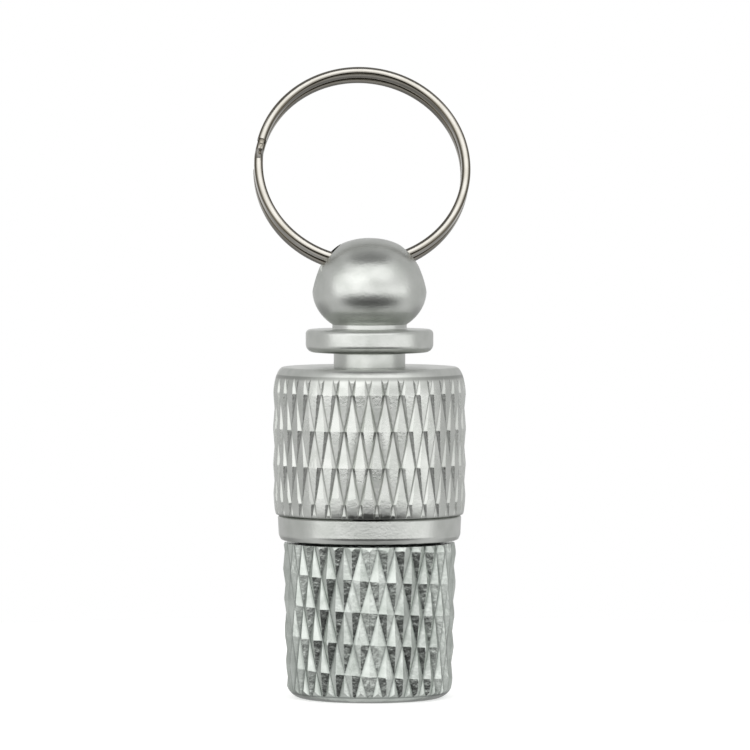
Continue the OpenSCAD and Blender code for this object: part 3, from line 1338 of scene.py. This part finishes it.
@dataclass
class Seal(Piece):
    """The rubber ring in the relief under the thread."""

    name: ClassVar[str] = "rubber_seal"
    node: ClassVar[str] = "o_ring"
    body: ClassVar[str] = "seal"
    slot: ClassVar[str] = "seal_rubber"

    centre_r: float = 4.775 * MM
    centre_z: float = 10.955 * MM
    cord_r: float = 0.375 * MM

    def build(self, trees: Trees) -> bpy.types.Object:
        """Builds the ring, a round cord swept round the axis.

        Args:
            trees: The shared trees.

        Returns:
            The finished piece.
        """
        rubber = RUBBER.material()
        made = trees.hoop.grow(
            self.name,
            {
                "Ring radius": self.centre_r,
                "Cord radius": self.cord_r,
                "Level": self.centre_z,
                "Material": rubber,
            },
        )
        face_outwards(made)
        crease(made, SHARP)
        return self.settle(made, rubber)


@dataclass
class PaperSlip(Piece):
    """The rolled slip of paper inside."""

    name: ClassVar[str] = "rolled_slip"
    node: ClassVar[str] = "paper_slip"
    body: ClassVar[str] = "barrel"
    slot: ClassVar[str] = "slip_paper"

    outer_r: float = 3.6 * MM
    thickness: float = 0.12 * MM
    step: float = 0.216 * MM
    turns: float = 2.2
    low_z: float = 1.5 * MM
    width: float = 19.0 * MM

    def build(self, trees: Trees) -> bpy.types.Object:
        """Builds the roll.

        Args:
            trees: The shared trees.

        Returns:
            The finished piece.
        """
        across, along = self.thickness / 2, self.width / 2
        outline = [(-across, -along), (across, -along), (across, along), (-across, along)]
        outside = self.outer_r - across
        winding = Winding(
            points=240, angles=(0.0, self.turns * math.tau),
            radii=(outside - self.step * self.turns, outside), level=self.low_z + along,
        )
        paper = PAPER.material()
        section = section_object("slip_section", outline)
        made = winding.strip(self.name, trees.winding, section, paper)
        face_outwards(made)
        crease(made, SHARP)
        return self.settle(made, paper)


@dataclass
class Cap(Piece):
    """The knurled cap with its flange and its drilled ball."""

    name: ClassVar[str] = "knurled_cap"
    node: ClassVar[str] = "cap"
    body: ClassVar[str] = "cap"
    slot: ClassVar[str] = "satin_aluminium"

    lip_z: float = 10.75 * MM
    lip_r: float = 6.025 * MM
    lip_cut: float = 0.1 * MM
    lip_bead: tuple[tuple[float, float], ...] = ((0.11 * MM, 0.28 * MM), (0.14 * MM, 0.4 * MM))
    band_z: float = 12.48 * MM
    band_r: float = 6.3 * MM
    band_corner: tuple[tuple[float, float], ...] = ((0.08 * MM, 0.2 * MM), (0.13 * MM, 0.12 * MM))
    band_shoulder: tuple[float, float] = (0.4 * MM, 0.02 * MM)
    crest_r: float = 6.54 * MM
    top_z: float = 22.45 * MM
    top_edge: tuple[float, float] = (0.7 * MM, 2.1 * MM)
    foot_taper: tuple[float, float] = (0.22 * MM, 3.0 * MM)
    core_r: float = 5.6 * MM
    core_down: float = 0.5 * MM
    overlap: float = 0.3 * MM
    past: float = 1.0 * MM
    fillet: float = 0.12 * MM
    lower_neck_r: float = 2.425 * MM
    flange_z: float = 23.45 * MM
    flange_r: float = 4.325 * MM
    flange_t: float = 1.55 * MM
    flange_low: float = 0.55 * MM
    flange_top: float = 0.3 * MM
    upper_neck_r: float = 2.525 * MM
    ball_r: float = 3.875 * MM
    ball_z: float = 27.721 * MM
    ball_up: float = 3.47 * MM
    ball_down: float = 3.06 * MM
    ball_power: float = 2.1
    eye_r: float = 1.3 * MM
    eye_rise: float = 1.75 * MM
    eye_flare: float = 0.6 * MM
    eye_straight: float = 2.9 * MM
    eye_reach: float = 1.4 * MM
    seat_r: float = 5.28 * MM
    seat_top: float = 11.36 * MM
    mouth_cut: float = 0.08 * MM
    nut_top: float = 16.8 * MM
    nut_cut: float = 0.15 * MM
    bore_r: float = 3.9 * MM
    bore_top: float = 21.0 * MM
    bore_cut: float = 0.3 * MM
    thread: Thread = field(default_factory=Thread)
    thread_origin: float = 10.55 * MM
    groove_levels: tuple[float, float] = (11.0 * MM, 16.7 * MM)

    def build(self, trees: Trees) -> bpy.types.Object:
        """Builds the cap.

        Args:
            trees: The shared trees.

        Returns:
            The finished piece.
        """
        metal = SATIN.material()
        knurl = Knurl(
            around=72, row=2.45 * MM, low_z=self.band_z - self.past, high_z=self.top_z + self.past,
            low_r=self.crest_r, high_r=self.crest_r, depth=0.2 * MM, climb=0, start=0.2, hand=1,
            ridge=0.6, scatter=0.012 * MM, seed=11,
        )
        body = knurl.column(self.name, trees.knurl, metal)
        body = combine(body, Solid.COMMON, self.envelope())
        body = combine(body, Solid.UNITE, self.turned())
        body = combine(body, Solid.CUT, self.inside(), self.eye())
        groove = self.thread.ridge(
            "thread_groove", trees.winding, self.thread_origin, *self.groove_levels, True, metal
        )
        body = combine(body, Solid.CUT, groove)
        face_outwards(body)
        crease(body, SMOOTH_STEP + 1)
        return self.settle(body, metal)

    def envelope(self) -> bpy.types.Object:
        """Turned outline that the knurl is cut down to: taper at its foot, rounded top edge.

        Returns:
            The solid inside the outline.
        """
        sunk, inner = self.band_z - self.overlap, self.core_r + self.overlap
        side = Profile().to(0, sunk).to(inner, sunk).to(inner, self.band_z)
        wide, high = self.foot_taper
        side.round((self.crest_r - wide, self.band_z + high), (wide, high), (-90, 0))
        wide, high = self.top_edge
        side.round((self.crest_r - wide, self.top_z - high), (wide, high), (0, 90))
        return side.to(0, self.top_z).turn("cap_envelope")

    def turned(self) -> bpy.types.Object:
        """Everything turned above and below the knurl: band, neck, flange, neck and ball.

        Returns:
            The solid, with a core through the knurled part.
        """
        work = Profile()
        self.turn_band(work)
        self.turn_flange(work)
        self.turn_ball(work)
        return work.turn("cap_turned")

    def turn_band(self, work: Profile) -> None:
        """Adds the band, from its beaded lip to its cornered top, and the core above it.

        Args:
            work: The outline so far.
        """
        work.to(0, self.lip_z).to(self.lip_r - self.lip_cut, self.lip_z)
        work.to(self.lip_r, self.lip_z + 0.5 * self.lip_cut)
        for out, up in self.lip_bead:
            work.to(self.lip_r + out, self.lip_z + up)
        for inward, down in self.band_corner:
            work.to(self.band_r - inward, self.band_z - down)
        out, down = self.band_shoulder
        work.to(self.core_r + out, self.band_z - down).to(self.core_r, self.band_z - down)
        core_top = self.top_z - self.core_down
        work.to(self.core_r, core_top).to(self.lower_neck_r, core_top)

    def turn_flange(self, work: Profile) -> None:
        """Adds the lower neck's fillet, the flange with its rounded edges, and the upper neck's foot.

        Args:
            work: The outline so far.
        """
        fillet, low, top = self.fillet, self.flange_low, self.flange_top
        work.round((self.lower_neck_r + fillet, self.flange_z - fillet), (fillet,) * 2, (180, 90))
        work.round((self.flange_r - low, self.flange_z + low), (low,) * 2, (-90, 0))
        flange_high = self.flange_z + self.flange_t
        work.round((self.flange_r - top, flange_high - top), (top,) * 2, (0, 90))
        work.to(self.upper_neck_r + fillet, flange_high)
        work.round((self.upper_neck_r + fillet, flange_high + fillet), (fillet,) * 2, (-90, -180))

    def turn_ball(self, work: Profile) -> None:
        """Adds the ball, a little squarer than an ellipse, from where the neck meets it to its top.

        Args:
            work: The outline so far.
        """
        meets = math.degrees(math.acos((self.upper_neck_r / self.ball_r) ** (self.ball_power / 2)))
        work.round((0, self.ball_z), (self.ball_r, self.ball_down), (-meets, 0), self.ball_power)
        work.round((0, self.ball_z), (self.ball_r, self.ball_up), (0, 90), self.ball_power)
        work.points[-1] = (0, self.ball_z + self.ball_up)

    def inside(self) -> bpy.types.Object:
        """Space inside: seat for the rubber ring, thread bore, and the narrower bore above.

        Returns:
            The solid to cut away.
        """
        root, cut = self.thread.root_r + self.thread.gap, self.mouth_cut
        space = Profile().to(0, self.lip_z - cut).to(self.seat_r + 2 * cut, self.lip_z - cut)
        space.to(self.seat_r, self.lip_z + cut).to(self.seat_r, self.seat_top)
        space.to(root + self.nut_cut, self.seat_top).to(root, self.seat_top + self.nut_cut)
        space.to(root, self.nut_top).to(self.bore_r, self.nut_top)
        space.to(self.bore_r, self.bore_top - self.bore_cut)
        space.to(self.bore_r - self.bore_cut, self.bore_top)
        return space.to(0, self.bore_top).turn("cap_inside")

    def eye(self) -> bpy.types.Object:
        """Drill for the cross hole, with a rounded mouth at each side of the ball.

        Returns:
            The solid to cut away, in its place.
        """
        mouth, wide = self.eye_flare * 1.6, self.eye_r + self.eye_flare * 2
        straight, end = self.eye_straight, self.eye_straight + self.eye_reach
        drill = Profile().to(0, -end).to(wide, -end)
        drill.round((self.eye_r + mouth, -straight), (mouth, mouth), (200, 180))
        drill.round((self.eye_r + mouth, straight), (mouth, mouth), (180, 160))
        made = drill.to(wide, end).to(0, end).turn("eye_drill", 120)
        level = Matrix.Translation((0, 0, self.ball_z + self.eye_rise))
        made.data.transform(level @ Matrix.Rotation(math.radians(90), 4, "Y"))
        return made


@dataclass
class SplitRing(Piece):
    """The split ring: two turns of flattened wire."""

    name: ClassVar[str] = "wire_ring"
    node: ClassVar[str] = "split_ring"
    body: ClassVar[str] = "ring"
    slot: ClassVar[str] = "ring_steel"

    path_r: float = 7.08 * MM
    wide: float = 0.6 * MM
    thick: float = 0.85 * MM
    edge: float = 0.26 * MM
    edge_steps: int = 6
    step: float = 0.91 * MM
    first: float = -541.0
    last: float = 164.0
    bend: tuple[float, float] = (167.0, 177.0)
    lean: float = 24.5
    shift: float = -0.3 * MM
    reach: float = 6.95 * MM
    hole_z: float = 29.471 * MM
    degrees_per_point: float = 1.5
    sharp: float = 18.0
    # Painted shade: its share on the wire's inner side and on the rear turn, and the degrees over which
    # the rear turn's shade fades in.
    inner_shade: float = 0.6
    rear_shade: float = 0.5
    rear_shade_fade: float = 40.0

    def build(self, trees: Trees) -> bpy.types.Object:
        """Builds the ring.

        Args:
            trees: The shared trees.

        Returns:
            The finished piece.
        """
        angles = (math.radians(self.first), math.radians(self.last))
        winding = Winding(
            points=round((self.last - self.first) / self.degrees_per_point), angles=angles,
            radii=(self.path_r, self.path_r), level=-self.step / 2,
            bend=tuple(math.radians(angle - 360) for angle in self.bend), step=self.step,
        )
        steel = STEEL.material()
        section = section_object("wire_section", *self.section())
        made = winding.strip(self.name, trees.winding, section, steel)
        # Painted shade on the rear turn, which lies behind the front one.
        self.paint_rear_shade(made)
        made.data.transform(self.place())
        face_outwards(made)
        crease(made, self.sharp)
        return self.settle(made, steel)

    def paint_rear_shade(self, made: bpy.types.Object) -> None:
        """Paints shade on the rear turn, where the front turn shades it.

        Args:
            made: The wound wire, with its painted shade and "along" attributes.
        """
        worn, along = (made.data.attributes[name].data for name in ("worn", "along"))
        values, lengths = (np.empty(len(made.data.vertices), np.float32) for _ in range(2))
        worn.foreach_get("value", values)
        along.foreach_get("value", lengths)
        turned = np.degrees(lengths / self.path_r)
        share = np.clip((self.bend[0] - 360 - turned) / self.rear_shade_fade, 0, 1)
        worn.foreach_set("value", np.maximum(values, self.rear_shade * share))

    def section(self) -> tuple[list[tuple[float, float]], list[float]]:
        """Works out the wire's section, a rectangle with rounded edges.

        Returns:
            The outline's points, and how much painted shade each one gets: most on the rounded edges,
            some on the inner side.
        """
        outline, worn = [], []
        for corner in range(4):
            across = (self.wide / 2 - self.edge) * (1 if corner in (0, 3) else -1)
            along = (self.thick / 2 - self.edge) * (1 if corner < 2 else -1)
            for k in range(self.edge_steps + 1):
                share = k / self.edge_steps
                angle = math.radians(90 * (corner + share))
                outward, upward = self.edge * math.cos(angle), self.edge * math.sin(angle)
                outline.append((across + outward, along + upward))
                # Painted shade: most on the rounded edges, some on the inner side.
                inside = max(0.0, -math.cos(angle))
                worn.append(max(math.sin(math.pi * share) ** 2, self.inner_shade * inside))
        return outline, worn

    def place(self) -> Matrix:
        """Place of the ring's own frame in the capsule's: hung in the cross hole and leaning back.

        Returns:
            The place.
        """
        hole = Matrix.Translation((0, 0, self.hole_z))
        tilt = Matrix.Rotation(math.radians(90 - self.lean), 4, "X")
        return hole @ tilt @ Matrix.Translation((self.shift, self.reach, 0))

    def cut_end(self) -> Vector:
        """Middle of the wire's cut end at the front.

        Returns:
            The place in the frame.
        """
        angle = math.radians(self.last)
        own = Vector((self.path_r * math.cos(angle), self.path_r * math.sin(angle), self.step / 2))
        return self.place() @ own


# ---------------------------------------------------------------- studio


def direction(azimuth: float, elevation: float) -> Vector:
    """Finds the direction from the capsule to a camera or a lamp.

    Args:
        azimuth: Degrees round from the front, positive to the right.
        elevation: Degrees up.

    Returns:
        The direction, one long.
    """
    turn, rise = math.radians(azimuth), math.radians(elevation)
    return Vector((math.sin(turn) * math.cos(rise), -math.cos(turn) * math.cos(rise), math.sin(rise)))


@dataclass
class View:
    """The camera, at the photograph's viewing angle."""

    distance: float = 0.45
    elevation: float = 2.3
    azimuth: float = -4.5
    sensor: float = 36.0
    clip: tuple[float, float] = (0.01, 10.0)

    def make(self) -> bpy.types.Object:
        """Makes the camera, with its scale and its aim from the image points of the cap.

        Returns:
            The camera.
        """
        low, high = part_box("cap")
        left, right = POINTS["cap_left"], POINTS["cap_right"]
        scale = (high.x - low.x) / (right.x - left.x)
        middle = PHOTO_SIZE / 2
        tilt, turn = math.radians(self.elevation), math.radians(self.azimuth)
        aside = (middle - (left.x + right.x) / 2) * scale
        height = high.z - (middle - POINTS["ball_top"].y) * scale / math.cos(tilt)
        aim = Vector((aside * math.cos(turn), aside * math.sin(turn), height))
        data = bpy.data.cameras.new("camera")
        data.sensor_fit = "AUTO"
        data.sensor_width = self.sensor
        data.lens = self.sensor * self.distance / (PHOTO_SIZE * scale)
        data.clip_start, data.clip_end = self.clip
        camera = bpy.data.objects.new("camera", data)
        bpy.context.scene.collection.objects.link(camera)
        camera.location = aim + direction(self.azimuth, self.elevation) * self.distance
        camera.rotation_euler = (math.radians(90) - tilt, 0, turn)
        bpy.context.scene.camera = camera
        bpy.context.view_layer.update()
        return camera


@dataclass(frozen=True)
class Softbox:
    """A soft lamp round the capsule, with the brightness that a mirror would show."""

    name: str
    azimuth: float
    elevation: float
    distance: float
    width: float
    height: float
    brightness: float
    colour: str = "#ffffff"

    def make(self, target: Vector) -> None:
        """Hangs the lamp and turns it to its target.

        Args:
            target: The place that it faces.
        """
        lamp = bpy.data.lights.new(self.name, "AREA")
        lamp.shape = "RECTANGLE"
        lamp.size, lamp.size_y = self.width, self.height
        lamp.energy = self.brightness * math.pi * self.width * self.height
        lamp.color = linear(self.colour)[:3]
        hung = bpy.data.objects.new(self.name, lamp)
        bpy.context.scene.collection.objects.link(hung)
        away = direction(self.azimuth, self.elevation)
        hung.location = target + away * self.distance
        hung.rotation_euler = away.to_track_quat("Z", "Y").to_euler()
        hung.visible_camera = False


SOFTBOXES = (
    Softbox(
        "front_softbox", azimuth=0, elevation=42, distance=0.55, width=0.9, height=0.4, brightness=0.52
    ),
    Softbox(
        "left_softbox", azimuth=-45, elevation=18, distance=0.55, width=0.85, height=0.3, brightness=0.5
    ),
)


@dataclass(frozen=True)
class Room:
    """Brightness of a white studio tent, as a mirror would show it, by direction.

    A bright panel stands in front, between grey sides, from its horizon up to a darker top, and a
    pale floor lies below. A dark card lies low round the front as an ellipse, with a weaker one
    behind. Straight behind the capsule, reflections show the white backdrop.

    Azimuths are in degrees from the front, positive to the right. Heights and depths are the upward
    and backward parts of a direction one long. Each pair says where its part of the tent fades in,
    from the first number, where there is none of it, to the second, where there is all of it.
    """

    side: float = 0.64
    front: float = 0.95
    horizon: float = 0.52
    top: float = 0.14
    back_top: float = 0.62
    floor: float = 0.72
    dark: float = 0.04
    front_half: tuple[float, float] = (84.0, 74.0)
    front_top: tuple[float, float] = (0.84, 0.89)
    floor_edge: tuple[float, float] = (-0.12, -0.3)
    horizon_edge: tuple[float, float] = (0.14, 0.0)
    dark_azimuth: float = -2.0
    dark_half: float = 66.0
    dark_height: float = -0.5
    dark_reach: float = 0.3
    dark_edge: tuple[float, float] = (1.45, 0.45)
    dark_behind: float = 0.55
    dark_behind_edge: tuple[float, float] = (0.0, 0.3)
    back_top_edge: tuple[float, float] = (-0.3, 0.5)
    backdrop_edge: tuple[float, float] = (0.97, 0.985)

    def world(self) -> bpy.types.World:
        """Builds the world: white to the camera and behind the capsule, and the tent elsewhere.

        Returns:
            The world.
        """
        world = bpy.data.worlds.new("studio_tent")
        world.use_nodes = True
        tree = world.node_tree
        tree.nodes.clear()
        ray = tree.nodes.new("ShaderNodeTexCoord").outputs["Generated"]
        x, y, z = (Term(socket) for socket in add_node(tree, "ShaderNodeSeparateXYZ", {0: ray}).outputs)
        tent = self.tent(x, y, z)
        path = tree.nodes.new("ShaderNodeLightPath").outputs
        mirrored = Term(path["Is Glossy Ray"]).apply("MAXIMUM", Term(path["Is Transmission Ray"]))
        behind = y.ramp(*self.backdrop_edge) * mirrored
        white = behind.apply("MAXIMUM", Term(path["Is Camera Ray"]))
        strength = tent + (1.0 - tent) * white
        light = add_node(tree, "ShaderNodeBackground", {0: linear("#ffffff"), 1: strength})
        add_node(tree, "ShaderNodeOutputWorld", {0: light})
        return world

    def tent(self, x: Term, y: Term, z: Term) -> Term:
        """Works out the tent's brightness in a direction one long.

        Args:
            x: The direction's part to the right.
            y: Its part away from the camera.
            z: Its upward part.

        Returns:
            The brightness.
        """
        azimuth = x.apply("ARCTAN2", y * -1.0) * math.degrees(1)
        over = z.ramp(*self.front_top)
        panel = azimuth.apply("ABSOLUTE").ramp(*self.front_half) * (1.0 - over)
        glow = z.ramp(*self.horizon_edge) * self.horizon
        tent = panel * (glow + (self.front - self.side)) + self.side
        above = y.ramp(*self.back_top_edge) * (self.back_top - self.top) + self.top
        tent = tent + (above - tent) * over
        tent = tent + (self.floor - tent) * z.ramp(*self.floor_edge)
        folded = x.apply("ARCTAN2", y.apply("ABSOLUTE")) * math.degrees(1)
        aside = (folded - self.dark_azimuth) / self.dark_half
        below = (z - self.dark_height) / self.dark_reach
        card = (aside * aside + below * below).ramp(*self.dark_edge)
        card = card * (1.0 - y.ramp(*self.dark_behind_edge) * (1.0 - self.dark_behind))
        return tent + (self.dark - tent) * card


@dataclass(frozen=True)
class Studio:
    """Plain studio: two lamps, a white tent and a pale floor."""

    floor_r: float = 70 * MM
    floor_lift: float = 0.5

    def build(self) -> None:
        """Builds the studio."""
        bpy.context.scene.view_settings.view_transform = "Standard"
        low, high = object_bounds()
        for softbox in SOFTBOXES:
            softbox.make((low + high) / 2)
        bpy.context.scene.world = Room().world()
        self.floor()

    def floor(self) -> None:
        """White floor that shows as white and keeps the capsule's shadow.

        Reflections don't show it: the tent's own pale floor, which the world gives, shows there.
        """
        disc = bmesh.new()
        bmesh.ops.create_circle(disc, cap_ends=True, segments=96, radius=self.floor_r)
        mesh = bpy.data.meshes.new("floor")
        disc.to_mesh(mesh)
        disc.free()
        floor = new_object("floor", mesh)
        # Coated studio paper: matt white, lifted to the camera so that it meets the white backdrop.
        material, _ = start_material("studio_paper_white")
        inputs = principled(material).inputs
        inputs["Base Color"].default_value = linear("#f4f4f3")
        inputs["Roughness"].default_value = 0.9
        inputs["Emission Color"].default_value = linear("#ffffff")
        path = material.node_tree.nodes.new("ShaderNodeLightPath").outputs
        lift = Term(path["Is Camera Ray"]) * self.floor_lift
        material.node_tree.links.new(lift.socket, inputs["Emission Strength"])
        mesh.materials.append(material)
        floor.visible_glossy = False
        floor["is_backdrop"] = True


# ---------------------------------------------------------------- measures


def surface_place(camera: bpy.types.Object, carrier: bpy.types.Object, point: ImagePoint) -> Vector:
    """Finds the place on a finished piece that an image point marks.

    Args:
        camera: The camera.
        carrier: The piece that carries it.
        point: The image point.

    Returns:
        The place where the point's ray meets the piece, or the place nearest to the ray.
    """
    reach = PHOTO_SIZE * camera.data.lens / camera.data.sensor_width
    ray = Vector((point.x - PHOTO_SIZE / 2, PHOTO_SIZE / 2 - point.y, -reach))
    eye = camera.matrix_world.translation
    direction = (camera.matrix_world.to_3x3() @ ray).normalized()
    mesh = carrier.data
    tree = BVHTree.FromPolygons(
        [vertex.co for vertex in mesh.vertices], [list(face.vertices) for face in mesh.polygons]
    )
    place = tree.ray_cast(eye, direction)[0]
    if place is None:
        vertices = [vertex.co for vertex in mesh.vertices]
        place = min(vertices, key=lambda v: ((v - eye).cross(direction)).length)
    return place


def main() -> None:
    """Builds the studio and the capsule, and works out the measures."""
    logging.basicConfig(level=logging.INFO, format="%(name)s: %(message)s")
    for leftover in list(bpy.data.objects):
        bpy.data.objects.remove(leftover)
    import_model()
    camera = View().make()
    Studio().build()
    trees = Trees()
    ring = SplitRing()
    made = {}
    for piece in (Barrel(), PaperSlip(), Seal(), Cap(), ring):
        made[piece.name] = piece.build(trees)
        piece.report(made[piece.name])
    # Painted shade and dark reflection on the band, under the knurl.
    shade_place = surface_place(camera, made["knurled_cap"], POINTS["band_shade"])
    PaintedBandShade().paint_on(made["knurled_cap"].data.materials[0], shade_place)
    marks = {"wire_end": ring.cut_end(), "band_shade": shade_place}


if __name__ == "__main__":
    main()
